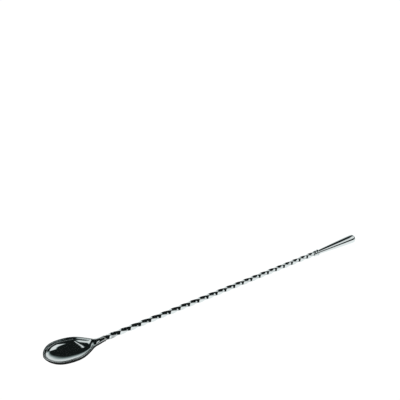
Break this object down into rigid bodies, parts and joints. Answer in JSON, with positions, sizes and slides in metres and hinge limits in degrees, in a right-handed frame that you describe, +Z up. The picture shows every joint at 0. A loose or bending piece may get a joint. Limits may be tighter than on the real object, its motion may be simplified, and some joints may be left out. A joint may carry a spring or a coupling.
{
  "type": "bar spoon",
  "caption": "Twisted bar spoon with an egg-shaped bowl at one end and a weighted teardrop at the other, for stirring drinks in a tall glass.",
  "frame": {"origin": "on the table top, under the middle of the spoon's length, with the spoon lying bowl up on its belly and its drop", "axes": "+X along the spoon from the bowl to the drop, +Z up out of the bowl, +Y across it"},
  "size_m": [0.3, 0.0248, 0.0108],
  "materials": {
    "polished_steel": "mirror-polished stainless steel with fine rub marks",
    "silver_braze": "silver brazing alloy, dressed and polished, slightly softer and warmer than the steel"
  },
  "bodies": {
    "root": {"bowl": "polished_steel", "stem": "polished_steel", "braze_ring": "silver_braze", "collar": "polished_steel", "drop": "polished_steel"}
  },
  "joints": []
}
